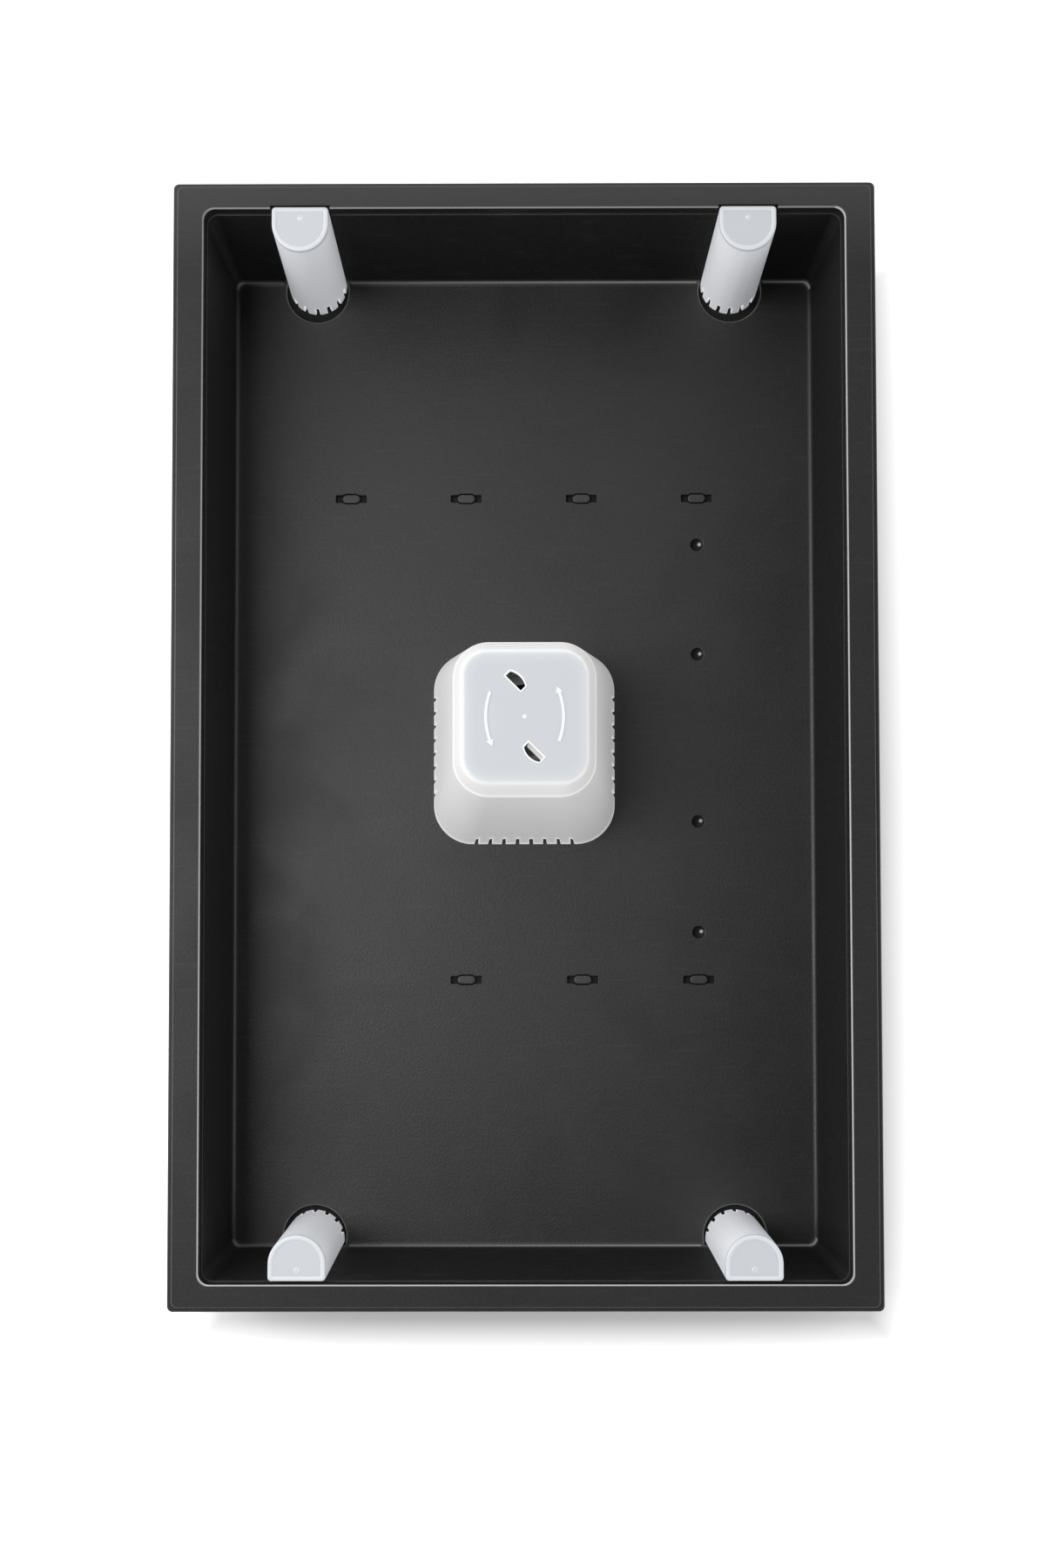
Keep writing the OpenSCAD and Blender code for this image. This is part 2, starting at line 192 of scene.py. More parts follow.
# Tray, shell
# One black moulding: a skirt that stands on the hive, a rim with a low step round its outside and a
# basin hung in it. The tool leaves a radius on each edge and a draft on each wall.
tray_low, tray_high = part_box("tray")
tray_w = tray_high.x - tray_low.x
tray_l = tray_high.y - tray_low.y
tray_h = tray_high.z - tray_low.z
floor_z = 12.0 * mm
rim_side_w = 14.1 * mm
rim_end_w = 12.3 * mm
rim_t = 3.0 * mm
skirt_wall = 2.5 * mm
basin_wall = 2.5 * mm
floor_t = 2.5 * mm
side_draft = 3.5 * mm
end_draft = 5.4 * mm
step_w = 2.0 * mm
step_h = 1.0 * mm
ledge_w = 0.9 * mm
ledge_z = tray_h - 4.0 * mm
open_half = (tray_w / 2 - rim_side_w, tray_l / 2 - rim_end_w)
ledge_half = (open_half[0] - ledge_w, open_half[1] - ledge_w)
floor_half = (open_half[0] - side_draft, open_half[1] - end_draft)
skirt_corner_r = 2.5 * mm
basin_corner_r = 5.0 * mm
ledge_corner_r = 4.5 * mm
floor_corner_r = 4.0 * mm
under_r = 1.0 * mm
under_cap_in = 6.0 * mm
floor_cap_in = 8.0 * mm
floor_cap_r = 2.0 * mm
floor_soft = 2.2 * mm
lip_soft = 0.9 * mm


def rect_ring(half_w, half_l, radius, z, steps=8):
    """Rounded rectangle, anticlockwise from the +X side."""
    ring = []
    for quarter, (x, y) in enumerate(((1, 1), (-1, 1), (-1, -1), (1, -1))):
        for step in range(steps + 1):
            turn = math.radians(90) * (quarter + step / steps)
            ring.append((x * (half_w - radius) + radius * math.cos(turn),
                         y * (half_l - radius) + radius * math.sin(turn), z))
    return ring


def soft_profile(corners, steps):
    """Sections along a profile. Each corner ends in the reach of its rounding, zero for none."""
    sections = []
    for i, (*here, soft) in enumerate(corners):
        if not soft:
            sections.append(here)
            continue
        ends = []
        for other in (corners[i - 1][:-1], corners[i + 1][:-1]):
            length = math.hypot(other[0] - here[0], other[-1] - here[-1])
            reach = min(soft / length, 0.5)
            ends.append([a + reach * (b - a) for a, b in zip(here, other)])
        for step in range(steps + 1):
            t = step / steps
            sections.append([(1 - t) ** 2 * a + 2 * t * (1 - t) * h + t * t * b
                             for a, h, b in zip(ends[0], here, ends[1])])
    return sections


def rings_of(ring, profile, steps=4):
    """Rings of one kind of outline, up along a profile."""
    return [ring(*section) for section in soft_profile(profile, steps)]


def add_skin(bm, rings, caps=(True, True)):
    """Quads between closed rings of the same count, with a face over either end."""
    rows = [[bm.verts.new(point) for point in ring] for ring in rings]
    for low, high in zip(rows, rows[1:]):
        for i in range(len(low)):
            j = (i + 1) % len(low)
            bm.faces.new((low[i], low[j], high[j], high[i]))
    for row, cap in zip((rows[0], rows[-1]), caps):
        if cap:
            bm.faces.new(row)
    return rows


def to_piece(bm, name):
    """A linked object from a bmesh, with its normals turned outwards."""
    bmesh.ops.remove_doubles(bm, verts=bm.verts, dist=1e-7)
    bmesh.ops.recalc_face_normals(bm, faces=bm.faces)
    mesh = bpy.data.meshes.new(name)
    bm.to_mesh(mesh)
    bm.free()
    piece = bpy.data.objects.new(name, mesh)
    bpy.context.scene.collection.objects.link(piece)
    return piece


def solid(name, *skins):
    """A linked object made of closed skins of rings."""
    bm = bmesh.new()
    for rings in skins:
        add_skin(bm, rings)
    return to_piece(bm, name)


def inset(half, by):
    """A half width and half length, each made less."""
    return half[0] - by, half[1] - by


# Each row is a half width and half length, a corner radius, a height and the reach of the rounding.
skirt_half = (tray_w / 2, tray_l / 2)
tray_profile = [
    (*inset(floor_half, under_cap_in), floor_corner_r, floor_z - floor_t, 0),
    (*inset(floor_half, -basin_wall), floor_corner_r + basin_wall, floor_z - floor_t, 1.5 * mm),
    (*inset(ledge_half, -basin_wall), basin_corner_r + basin_wall, tray_h - rim_t, 0.5 * mm),
    (*inset(skirt_half, skirt_wall), under_r, tray_h - rim_t, 0.5 * mm),
    (*inset(skirt_half, skirt_wall), under_r, 0, 0.4 * mm),
    (*skirt_half, skirt_corner_r, 0, 0.4 * mm),
    (*skirt_half, skirt_corner_r, tray_h - step_h, 0.6 * mm),
    (*inset(skirt_half, step_w), skirt_corner_r, tray_h - step_h, 0.3 * mm),
    (*inset(skirt_half, step_w), skirt_corner_r, tray_h, 0.5 * mm),
    (*open_half, basin_corner_r, tray_h, lip_soft),
    (*open_half, basin_corner_r, ledge_z, 0.3 * mm),
    (*ledge_half, ledge_corner_r, ledge_z, 0.4 * mm),
    (*floor_half, floor_corner_r, floor_z, floor_soft),
    (*inset(floor_half, floor_cap_in), floor_cap_r, floor_z, 0),
]
tray = solid("tray_shell", rings_of(rect_ring, tray_profile))
tray.data.materials.append(black_plastic)


# Tray, sumps
# Four shallow round wells sunk in the floor against the end walls, where the last syrup gathers.
# Each has a rounded edge and is cut off flat by the end wall. Each cut passes the floor's level by a
# skim, so that no two faces lie in one plane.
sump_r = 15.2 * mm
sump_z = floor_z - 3.0 * mm
sump_setback = 0.3 * mm
sump_edge_soft = 0.8 * mm
sump_floor_soft = 1.2 * mm
sump_flare = 1.8 * mm
sump_tool_rise = 8.0 * mm
skim = 0.02 * mm
end_lean = (end_draft - ledge_w) / (ledge_z - floor_z)
corner_x = tray_w / 2 - 57.5 * mm
corner_y = floor_half[1] - 3.3 * mm
sump_y = corner_y - 1.5 * mm


def round_ring(radius, z, steps=72):
    """Circle, anticlockwise from the +X side."""
    return [(radius * math.cos(math.tau * i / steps), radius * math.sin(math.tau * i / steps), z)
            for i in range(steps)]


def moved(rings, x, y, end=1):
    """Rings shifted to a place, mirrored to the front end if asked."""
    return [[(x + px, end * (y + py), z) for px, py, z in ring] for ring in rings]


def trim_at_wall(bm, gap):
    """Drops what lies beyond the rear end wall, at a gap from it, and closes the cut."""
    cut = bmesh.ops.bisect_plane(bm, geom=bm.verts[:] + bm.edges[:] + bm.faces[:], dist=1e-7,
                                 plane_co=(0, floor_half[1] - gap, floor_z),
                                 plane_no=Vector((0, 1, -end_lean)).normalized(), clear_outer=True)
    bmesh.ops.edgenet_fill(bm, edges=[e for e in cut["geom_cut"] if isinstance(e, bmesh.types.BMEdge)])


def mirrored(bm):
    """Adds a copy of everything at the front end."""
    copy = bmesh.ops.duplicate(bm, geom=bm.verts[:] + bm.edges[:] + bm.faces[:])
    for vert in copy["geom"]:
        if isinstance(vert, bmesh.types.BMVert):
            vert.co.y = -vert.co.y


def settle(piece):
    """Bakes the modifiers into a plain mesh."""
    graph = bpy.context.evaluated_depsgraph_get()
    baked = bpy.data.meshes.new_from_object(piece.evaluated_get(graph))
    piece.modifiers.clear()
    piece.data = baked
    return piece


def carve(piece, tool, operation):
    """Cuts a tool from a piece or joins it on, and drops the tool."""
    change = piece.modifiers.new("carve", "BOOLEAN")
    change.operation = operation
    change.solver = "EXACT"
    change.object = tool
    settle(piece)
    bpy.data.objects.remove(tool)


sump_under = [
    (sump_r * 0.5, sump_z - floor_t, 0),
    (sump_r + basin_wall, sump_z - floor_t, 1 * mm),
    (sump_r + basin_wall, floor_z - floor_t / 2, 0),
    (sump_r * 0.5, floor_z - floor_t / 2, 0),
]
sump_hollow = [
    (sump_r * 0.5, sump_z, 0),
    (sump_r, sump_z, sump_floor_soft),
    (sump_r, floor_z + skim, sump_edge_soft),
    (sump_r + sump_flare, floor_z + skim, 0),
    (sump_r + sump_flare, floor_z + sump_tool_rise, 0),
    (sump_r * 0.5, floor_z + sump_tool_rise, 0),
]
sump_steps = ((sump_under, -basin_wall, "UNION"), (sump_hollow, sump_setback, "DIFFERENCE"))
for side in (-1, 1):
    for shape, gap, operation in sump_steps:
        bm = bmesh.new()
        add_skin(bm, moved(rings_of(round_ring, shape), side * corner_x, sump_y))
        trim_at_wall(bm, gap)
        mirrored(bm)
        carve(tray, to_piece(bm, "sump_tool"), operation)


# Tray, rear pockets
# The two rear covers stand in shallow pockets of the rear wall, which keep them from sliding along it.
# The wall bulges behind each pocket, inside the hollow rim.
pocket_halves = (14.6 * mm, 13.45 * mm)
pocket_depth = 2.2 * mm
pocket_rise = 1.0 * mm


def wall_y(z):
    """Where the rear wall's face stands at a height."""
    return floor_half[1] + (z - floor_z) * end_lean


for grow, front, low, high, operation in (
        (basin_wall, lambda z: wall_y(z) + basin_wall / 2, sump_z - floor_t, tray_h - rim_t / 2, "UNION"),
        (0.0, lambda z: corner_y, sump_z, tray_h + pocket_rise, "DIFFERENCE")):
    pockets = []
    for side in (-1, 1):
        rings = []
        for half, z in zip(pocket_halves, (low, high)):
            left = side * corner_x - half - grow
            right = side * corner_x + half + grow
            back = wall_y(z) + pocket_depth + grow
            rings.append([(left, front(z), z), (right, front(z), z), (right, back, z), (left, back, z)])
        pockets.append(rings)
    carve(tray, solid("pocket_tool", *pockets), operation)


# Tray, floor marks
# Rows of short slots with an oval boss in each, where the tool's cores shut off, and four dimples
# down the right side. One slot is left out at the front left, as on the real floor.
marks_y = 10.4 * mm
slot_row = 118.0 * mm
slot_pitch = 56.5 * mm
mark_depth = 1.6 * mm
slot_half = (7.5 * mm, 1.8 * mm)
boss_half = (4.3 * mm, 2.1 * mm)
boss_rise = 0.1 * mm
boss_root = 0.6 * mm
groove_half = (4.7 * mm, 2.5 * mm)
oval_share = 0.96
slot_corner_r = 0.5 * mm
mark_soft = 0.4 * mm
mark_flare = 0.8 * mm
tool_rise = 2.0 * mm
dimple_r = 3.2 * mm
dimple_depth = 1.6 * mm
dimple_flare = 1.0 * mm
dimple_x = 1.5 * slot_pitch
dimple_reaches = (41.0 * mm, 95.0 * mm)


def copies_tree():
    """Copies of a shape along a straight row, realised as one mesh in one material."""
    tree = bpy.data.node_groups.new("row_of_copies", "GeometryNodeTree")
    for name, kind in (("Shape", "NodeSocketGeometry"), ("Count", "NodeSocketInt"),
                       ("Start", "NodeSocketVector"), ("Step", "NodeSocketVector"),
                       ("Material", "NodeSocketMaterial")):
        tree.interface.new_socket(name, in_out="INPUT", socket_type=kind)
    tree.interface.new_socket("Copies", in_out="OUTPUT", socket_type="NodeSocketGeometry")
    nodes, links = tree.nodes, tree.links
    inside = nodes.new("NodeGroupInput")
    outside = nodes.new("NodeGroupOutput")
    line = nodes.new("GeometryNodeMeshLine")
    place = nodes.new("GeometryNodeInstanceOnPoints")
    real = nodes.new("GeometryNodeRealizeInstances")
    paint = nodes.new("GeometryNodeSetMaterial")
    for source, given, target, taken in (
            (inside, "Count", line, "Count"),
            (inside, "Start", line, "Start Location"),
            (inside, "Step", line, "Offset"),
            (line, "Mesh", place, "Points"),
            (inside, "Shape", place, "Instance"),
            (place, "Instances", real, "Geometry"),
            (real, "Geometry", paint, "Geometry"),
            (inside, "Material", paint, "Material"),
            (paint, "Geometry", outside, "Copies")):
        links.new(source.outputs[given], target.inputs[taken])
    return tree


row_of_copies = copies_tree()


def repeat(piece, count, start, step):
    """Turns a piece into a row of copies of itself."""
    row = piece.modifiers.new("row", "NODES")
    row.node_group = row_of_copies
    given = {"Count": count, "Start": start, "Step": step, "Material": black_plastic}
    for item in row_of_copies.interface.items_tree:
        if item.name in given:
            row[item.identifier] = given[item.name]
    return settle(piece)


def mark_tool(ring, shape, count, start, step):
    """A row of closed solids drawn from one profile."""
    return repeat(solid("mark_tool", rings_of(ring, shape)), count, start, step)


def recess(half, radius):
    """Profile of a flat-bottomed recess with rounded edges, at the floor's level."""
    return [
        (*inset(half, 0.6 * mm), radius * 0.5, -mark_depth, 0),
        (*half, radius, -mark_depth, mark_soft),
        (*half, radius, skim, mark_soft),
        (*inset(half, -mark_flare), radius + mark_flare, skim, 0),
        (*inset(half, -mark_flare), radius + mark_flare, skim + tool_rise, 0),
    ]


boss = [
    (*boss_half, boss_half[1] * oval_share, -mark_depth - boss_root, 0),
    (*boss_half, boss_half[1] * oval_share, boss_rise, 0.6 * mm),
    (*inset(boss_half, 1.4 * mm), boss_half[1] * 0.3, boss_rise, 0),
]
dimple = [
    (dimple_r * 0.1, -dimple_depth, 0),
    (dimple_r * 0.6, -dimple_depth * 0.9, 0.9 * mm),
    (dimple_r, skim, mark_soft),
    (dimple_r + dimple_flare, skim, 0),
    (dimple_r + dimple_flare, tool_rise, 0),
]
slot_rows = [(4, (-1.5 * slot_pitch, marks_y + slot_row, floor_z)),
             (3, (-0.5 * slot_pitch, marks_y - slot_row, floor_z))]
for shape, operation in ((recess(slot_half, slot_corner_r), "DIFFERENCE"),
                         (recess(groove_half, groove_half[1] * oval_share), "DIFFERENCE"),
                         (boss, "UNION")):
    for count, start in slot_rows:
        carve(tray, mark_tool(rect_ring, shape, count, start, (slot_pitch, 0, 0)), operation)
for reach in dimple_reaches:
    start = (dimple_x, marks_y - reach, floor_z)
    carve(tray, mark_tool(round_ring, dimple, 2, start, (0, 2 * reach, 0)), "DIFFERENCE")


# Tray, ribs
# Thin plates moulded under the floor and inside the hollow rim, seven across and three along. They
# keep the floor flat under the syrup's weight.
cross_ribs = 7
long_ribs = 3
rib_t = 1.6 * mm
rib_z = floor_z - floor_t - 4.0 * mm
bury = 0.6 * mm


def rib_plate(axis):
    """One rib as a thin plate along the X or Y axis, whose outline passes round the basin."""
    top = tray_h - rim_t + bury
    skirt_reach = skirt_half[axis] - skirt_wall + bury
    outline = [(skirt_reach, rib_z), (skirt_reach, top), (ledge_half[axis] + basin_wall - bury, top),
               (floor_half[axis] + basin_wall - bury, floor_z - floor_t + bury)]
    outline += [(-a, z) for a, z in reversed(outline)]
    plate = [[(side, a, z) if axis else (a, side, z) for a, z in outline]
             for side in (-rib_t / 2, rib_t / 2)]
    return solid("rib", plate)


for axis, count, length in ((0, cross_ribs, tray_l), (1, long_ribs, tray_w)):
    pitch = length / (count + 1)
    step = (pitch, 0.0, 0.0) if axis else (0.0, pitch, 0.0)
    start = [-(count - 1) / 2 * part for part in step]
    carve(tray, repeat(rib_plate(axis), count, start, step), "UNION")


# Tray, chimneys
# The ways up for the bees, moulded with the floor: a round one in the middle with a flange that
# turns inwards at its top, and four with flat backs at the end walls.
corners = {"rear_left": (-1, 1), "rear_right": (1, 1), "front_left": (-1, -1), "front_right": (1, -1)}
rear_set = 2.5 * mm
chimney_y = 11.0 * mm
chimney_r = 22.0 * mm
chimney_wall = 1.8 * mm
chimney_top = 59.2 * mm
flange_t = 2.0 * mm
throat_r = 16.6 * mm
hook_turn = 11.0
hook_arc = 34.0
hook_free_turn = 4.0
unlock_turn = 45.0
hook_t = 2.0 * mm
hook_gap = 0.4 * mm
corner_chimney_r = 9.45 * mm
corner_chimney_back = 0.56 * mm
corner_chimney_top = 61.1 * mm
chimney_draft = 0.8 * mm
chimney_root_w = 3.2 * mm
corner_root_w = 1.4 * mm
tool_drop = 3.0 * mm
root_drop = 1.0 * mm
bore_soft = 0.5 * mm
bore_flare = 1.0 * mm


def d_ring(radius, back, edge, z, fronts=tuple(range(-90, 91, 5))):
    """Round front and flat back with small round edges, anticlockwise from the right back edge."""
    ring = []
    widest = math.acos(max(0.0, (edge - back) / radius))
    half = radius * math.sin(widest)
    for x, first in ((1, 0), (-1, 90)):
        for step in range(5):
            turn = math.radians(first + 22.5 * step)
            ring.append((x * (half - edge) + edge * math.cos(turn), back - edge + edge * math.sin(turn), z))
    for front in fronts:
        turn = widest * front / 90
        ring.append((radius * math.sin(turn), -radius * math.cos(turn), z))
    return ring


def sector(outline, first, last, steps=12):
    """Rings of a closed outline of radius and height, turned through part of a circle."""
    turns = [math.radians(first + (last - first) * step / steps) for step in range(steps + 1)]
    return [[(r * math.cos(turn), r * math.sin(turn), z) for r, z in outline] for turn in turns]


def stand_y(end):
    """How far from the tray's middle a corner's chimney and cover stand, at the rear or front end."""
    return corner_y + (rear_set if end > 0 else 0)


chimney_shape = [
    (chimney_r + chimney_root_w, floor_z - root_drop, 0),
    (chimney_r + chimney_root_w, floor_z - skim, 0),
    (chimney_r + chimney_draft, floor_z - skim, 1.6 * mm),
    (chimney_r, chimney_top, 0.7 * mm),
    (throat_r, chimney_top, 0),
]
corner_root_r = corner_chimney_r + corner_root_w
corner_root_back = corner_chimney_back + 0.4 * mm
corner_shape = [
    (corner_root_r, corner_root_back, 0.5 * mm, sump_z - root_drop, 0),
    (corner_root_r, corner_root_back, 0.5 * mm, sump_z - skim, 0),
    (corner_chimney_r, corner_chimney_back, 0.4 * mm, sump_z - skim, 0.9 * mm),
    (corner_chimney_r, corner_chimney_back, 0.4 * mm, corner_chimney_top, 0.6 * mm),
    (corner_chimney_r - chimney_wall, corner_chimney_back - 1.2 * mm, 0.2 * mm, corner_chimney_top, 0),
]
bore_r = corner_chimney_r - chimney_wall
bore_back = corner_chimney_back - chimney_wall
corner_bore = [
    (bore_r, bore_back, 0.3 * mm, rib_z - tool_drop, 0),
    (bore_r, bore_back, 0.3 * mm, corner_chimney_top + skim, bore_soft),
    (bore_r + bore_flare, bore_back + bore_flare, 0.5 * mm, corner_chimney_top + skim, 0),
    (bore_r + bore_flare, bore_back + bore_flare, 0.5 * mm, corner_chimney_top + tool_rise, 0),
]
centre_bore = [
    (chimney_r - chimney_wall, rib_z - tool_drop, 0),
    (chimney_r - chimney_wall, chimney_top - flange_t, bore_soft),
    (throat_r * 0.5, chimney_top - flange_t, 0),
]
throat = [
    (throat_r, chimney_top - flange_t - root_drop, 0),
    (throat_r, chimney_top + skim, bore_soft),
    (throat_r + bore_flare, chimney_top + skim, 0),
    (throat_r + bore_flare, chimney_top + tool_rise, 0),
]


def chimney_tool(round_shape, d_shape=()):
    """The middle chimney's solid, together with those of the four corners if they have a shape."""
    skins = [moved(rings_of(round_ring, round_shape), 0, chimney_y)]
    if d_shape:
        rings = rings_of(d_ring, d_shape)
        skins += [moved(rings, side * corner_x, stand_y(end), end) for side, end in corners.values()]
    return solid("chimney_tool", *skins)


carve(tray, chimney_tool(chimney_shape, corner_shape), "UNION")
carve(tray, chimney_tool(centre_bore, corner_bore), "DIFFERENCE")
carve(tray, chimney_tool(throat), "DIFFERENCE")
gap_half = hook_arc / 2 + hook_free_turn
gap_inner = throat_r - hook_t
gap_outer = chimney_r - chimney_wall - hook_gap
gap_low = chimney_top - flange_t - root_drop
gap_high = chimney_top + root_drop
outline = [(gap_inner, gap_low), (gap_outer, gap_low), (gap_outer, gap_high), (gap_inner, gap_high)]
gaps = []
for half in (0.0, 180.0):
    middle = half + hook_turn + unlock_turn
    gaps.append(sector(outline, middle - gap_half, middle + gap_half))
to_chimney = Matrix.Translation((0, chimney_y, 0))
gap_tool = solid("flange_gaps", *gaps)
gap_tool.data.transform(to_chimney)
carve(tray, gap_tool, "DIFFERENCE")


# Tray, edges
# The rim's edges carry painted grey highlights, strongest on the lip's inner edge at the right and front.
# The radii of the floor, the wells and the chimney, the bosses' tops and a glint in each dimple carry
# fainter painted highlights. The rim is a duller black, and a darker, duller black stands in for shade on
# the basin's walls, wells and marks.
# Strengths and widths of the painted highlights come first, then where the finishes change.
ledge_highlight = 0.05
step_highlight = 0.15
lip_most = 1.0
lip_least = 0.06
lip_at_rear = 0.42
lip_lit_from = 0.97
well_highlight = 0.3
well_line_out = 0.2 * mm
well_line_w = 0.5 * mm
floor_highlight_middle = 0.28
floor_highlight_swing = 0.16
chimney_highlight = 0.3
chimney_line_w = 0.7 * mm
boss_highlight = 0.02
glint_w = 1.1 * mm
mark_band = 0.2 * mm
rim_from = 0.05 * mm
wall_band = 2.0 * mm
steep = 0.4
chimney_clear = 5.0 * mm
wide_tray_face = 300 * mm * mm
hard_turn = 32.0
slot_places = [(start[0] + i * slot_pitch, start[1]) for count, start in slot_rows for i in range(count)]
dimple_places = [(dimple_x, marks_y + end * reach) for reach in dimple_reaches for end in (-1, 1)]


def smooth(piece):
    """Smooth faces with wide flats kept flat, and sharp edges where the surface turns hard."""
    for face in piece.data.polygons:
        face.use_smooth = True
    piece.data.set_sharp_from_angle(angle=math.radians(hard_turn))
    weigh = piece.modifiers.new("flats", "WEIGHTED_NORMAL")
    weigh.mode = "FACE_AREA"
    weigh.weight = 80
    weigh.keep_sharp = True
    settle(piece)


def rect_distance(co, half_w, half_l, radius):
    """Distance outside a rounded rectangle in plan, negative inside it."""
    x, y = abs(co[0]) - half_w + radius, abs(co[1]) - half_l + radius
    return math.hypot(max(x, 0.0), max(y, 0.0)) + min(max(x, y), 0.0) - radius


def near(away, rise, reach):
    """One on a line, falling to nothing at a reach from it."""
    return max(0.0, 1.0 - math.hypot(away, rise) / reach)


def paint_edges(piece, rule, widest, anew=lambda co: False):
    """Writes the painted highlight of edges, from what is there and a rule, and none on wide faces.
    Where a place is to be painted anew, the rule alone holds."""
    attributes = piece.data.attributes
    light = attributes.get("edge_light") or attributes.new("edge_light", "FLOAT", "POINT")
    wide = {vert for face in piece.data.polygons if face.area > widest for vert in face.vertices}
    for vert in piece.data.vertices:
        carried = 0.0 if anew(vert.co) else light.data[vert.index].value
        value = max(carried, rule(vert.co))
        light.data[vert.index].value = 0.0 if vert.index in wide else value


def lip_highlight(co):
    """How strong the painted highlight on the lip's inner edge is: most at the right and front, some at the
    rear, faint elsewhere.
    """
    right, rear = co.x / open_half[0], co.y / open_half[1]
    return lip_most if max(right, -rear) > lip_lit_from else lip_least + lip_at_rear * max(0.0, rear)


def floor_highlight(co):
    """How strong the painted highlight on the floor's radius is, more towards the right."""
    return floor_highlight_middle + floor_highlight_swing * co.x / floor_half[0]


# Each row is a rounded rectangle, how far out and how high its line lies, its reach and the strength of its
# painted highlight.
edge_lines = [
    (*ledge_half, ledge_corner_r, 0.1 * mm, ledge_z - 0.1 * mm, 0.35 * mm, lambda co: ledge_highlight),
    (*inset(skirt_half, step_w), skirt_corner_r,
     -0.12 * mm, tray_h - 0.12 * mm, 0.4 * mm, lambda co: step_highlight),
    (*skirt_half, skirt_corner_r, -0.15 * mm, tray_h - step_h - 0.15 * mm, 0.45 * mm, lambda co: step_highlight),
    (*open_half, basin_corner_r, 0.42 * mm, tray_h - 0.13 * mm, 0.5 * mm, lip_highlight),
    (*floor_half, floor_corner_r, -0.55 * mm, floor_z + 0.55 * mm, 0.75 * mm, floor_highlight),
]


def tray_light(co):
    """How much painted highlight a place on the tray carries, from the strongest line or mark near it."""
    light = max(wear(co) * near(rect_distance(co, half_w, half_l, radius) - out, co.z - z, reach)
                for half_w, half_l, radius, out, z, reach, wear in edge_lines)
    # Painted highlights on the wells' edges and on the chimney's rims.
    well_away = math.hypot(abs(co.x) - corner_x, abs(co.y) - sump_y) - sump_r - well_line_out
    light = max(light, well_highlight * near(well_away, co.z - floor_z + well_line_out, well_line_w))
    from_axis = math.hypot(co.x, co.y - chimney_y)
    for radius in (throat_r, chimney_r):
        light = max(light, chimney_highlight * near(from_axis - radius, co.z - chimney_top, chimney_line_w))
    # Painted highlight on the top of each boss.
    for x, y in slot_places:
        on_boss = math.hypot((co.x - x) / boss_half[0], (co.y - y) / boss_half[1]) < 1
        if on_boss and co.z > floor_z - mark_band:
            light = max(light, boss_highlight)
    # A painted glint on the right of each dimple.
    for x, y in dimple_places:
        light = max(light, near(co.x - x - dimple_r * 0.4, co.y - y - dimple_r * 0.15, glint_w))
    return light


def finish_of(face):
    """The finish of a face: 1 on the rim and skirt, 2 (the darker copy that stands in for shade) on the
    basin's walls, wells and marks, else 0.
    """
    place = face.center
    rise = place.z - floor_z
    out = rect_distance(place, *open_half, basin_corner_r)
    if out > rim_from or rise < -mark_depth - wall_band:
        return 1
    if rise > wall_band:
        return 2 if abs(face.normal.z) < steep or out > -2 * ledge_w else 0
    away = math.hypot(place.x, place.y - chimney_y) - chimney_r
    return 2 if rise < -mark_band and away > chimney_clear else 0


tray.data.materials.append(black_rim)
tray.data.materials.append(black_shaded)
for face in tray.data.polygons:
    face.material_index = finish_of(face)
paint_edges(tray, tray_light, wide_tray_face)
smooth(tray)
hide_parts("tray")
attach(tray, "tray")


# Centre cover
# A hood of natural, milky polypropylene that drops over the middle chimney and locks by two hooks
# when it is turned. Syrup seeps in through its notched foot. Two half-moon holes let air through the
# roof, each with a low collar and a plate that hangs under its straight side.
milky_grain_depth = 0.03 * mm
cloud_shade = 0.95
milky_gloss = 0.36
milky_dull = 0.44
through_share = 0.2
# On the roof band the colour is painted darker and bluer and the painted glow is weaker than on the walls:
# painted shade on the cover's top.
roof_band_low = 69.4 * mm
roof_band_high = 69.9 * mm
roof_shaded_tint = (0.615, 0.638, 0.668)
roof_painted_glow = (0.09, 0.092, 0.098)
# The white and the glow that the painted edge highlights take.
edge_highlight_white = (0.92, 0.92, 0.92)
edge_highlight_glow = (0.45, 0.45, 0.45)


def milky(name, body, glow):
    """Milky plastic of one tint that lets a share of light through. A painted glow over its walls stands in
    for light wandering in them; it is weaker on the roof and strongest at the painted edge highlights.
    """
    material, shader, surface = plastic(name, milky_grain_depth)
    nodes, links = material.node_tree.nodes, material.node_tree.links
    on_roof = map_value(material, place_along(material, "Z"), 0.0, 1.0, roof_band_low, roof_band_high)
    colour = blend_colour(material, tuple(cloud_shade * share for share in body), body,
                          map_value(material, surface.outputs["Cloud"], 0.0, 1.0))
    # Painted shade: the roof band takes the darker, bluer colour.
    colour = blend_colour(material, colour, roof_shaded_tint, on_roof)
    # Painted highlight: edges turn white where the edge_light attribute says.
    colour = blend_colour(material, colour, edge_highlight_white, edge_light(material))
    links.new(colour, shader.inputs["Base Color"])
    gloss = map_value(material, surface.outputs["Cloud"], milky_gloss, milky_dull)
    links.new(gloss, shader.inputs["Roughness"])
    # Painted glow: emission with no lamp behind it.
    light = blend_colour(material, glow, roof_painted_glow, on_roof)
    light = blend_colour(material, light, edge_highlight_glow, edge_light(material))
    links.new(light, shader.inputs["Emission Color"])
    shader.inputs["Emission Strength"].default_value = 1.0
    through = nodes.new("ShaderNodeBsdfTranslucent")
    mix = nodes.new("ShaderNodeMixShader")
    mix.inputs["Fac"].default_value = through_share
    links.new(colour, through.inputs["Color"])
    links.new(shader.outputs["BSDF"], mix.inputs[1])
    links.new(through.outputs["BSDF"], mix.inputs[2])
    links.new(mix.outputs["Shader"], nodes["Material Output"].inputs["Surface"])
    return material


